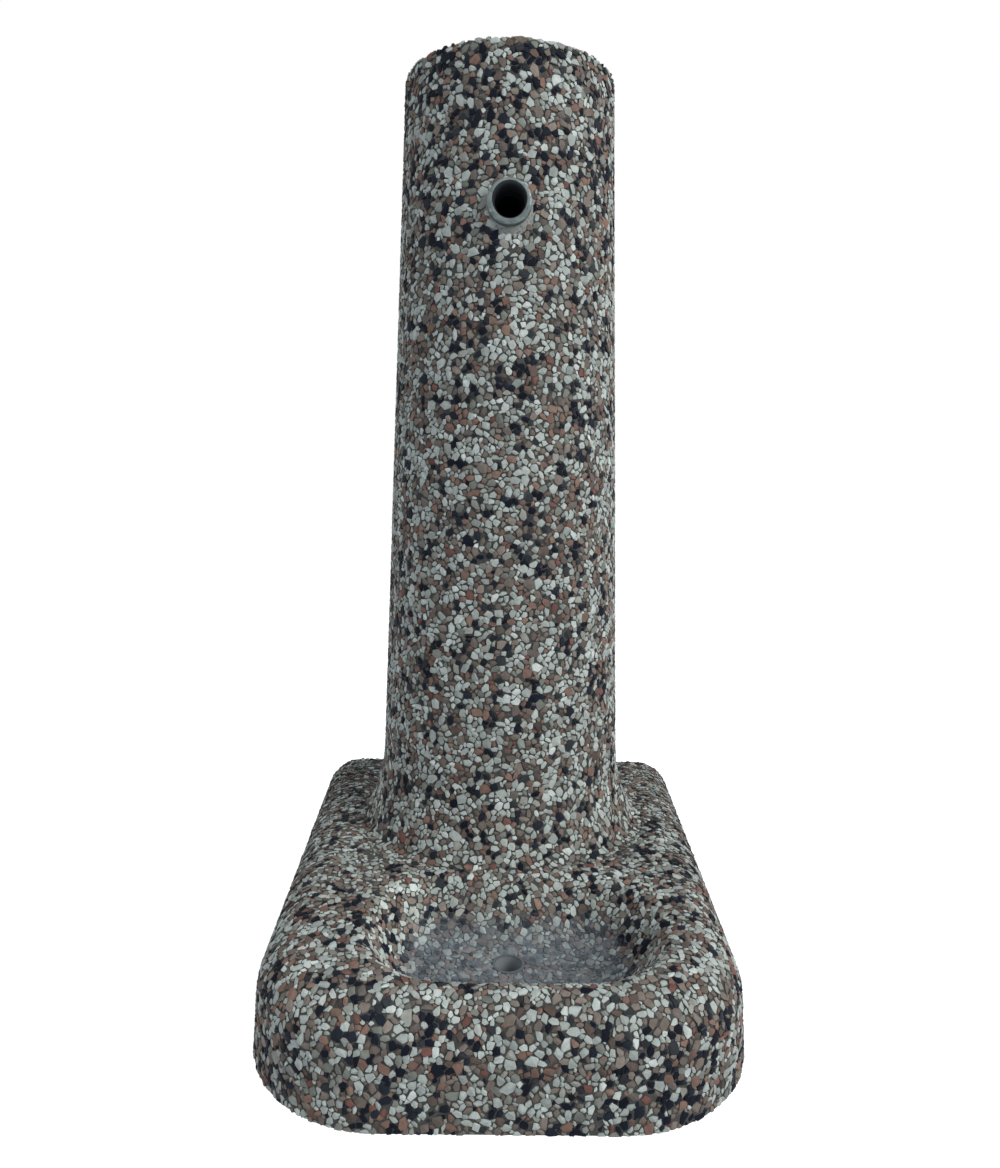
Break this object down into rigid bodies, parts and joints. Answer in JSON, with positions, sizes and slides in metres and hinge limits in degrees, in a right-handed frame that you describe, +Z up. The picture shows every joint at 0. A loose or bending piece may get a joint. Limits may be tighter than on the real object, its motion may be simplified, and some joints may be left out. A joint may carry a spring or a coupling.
{
  "type": "garden fountain",
  "caption": "Free-standing washed-gravel concrete garden fountain: a tapering round column with a threaded water outlet stands behind a scooped basin with a drain.",
  "frame": {"origin": "on the ground, in the middle of the footprint", "axes": "+Z up the column, the basin and the outlet face -Y, +X to the right as seen from the front"},
  "size_m": [0.398, 0.462, 0.75],
  "materials": {
    "washed_concrete": "matte",
    "cement_mortar": "matte",
    "galvanised_steel": "satin",
    "reinforcing_steel": "matte",
    "drain_plastic": "matte"
  },
  "bodies": {
    "root": {"column": "washed_concrete", "basin_base": "washed_concrete", "bedding_mortar": "cement_mortar", "dowel_bars": "reinforcing_steel", "column_bars": "reinforcing_steel", "column_links": "reinforcing_steel", "mesh_long_bars": "reinforcing_steel", "mesh_cross_bars": "reinforcing_steel", "riser_pipe": "galvanised_steel", "top_elbow": "galvanised_steel", "outlet_nipple": "galvanised_steel", "outlet_socket": "galvanised_steel", "outlet_mortar": "cement_mortar", "inlet_socket": "galvanised_steel", "inlet_mortar": "cement_mortar", "drain_tube": "drain_plastic"}
  },
  "joints": []
}
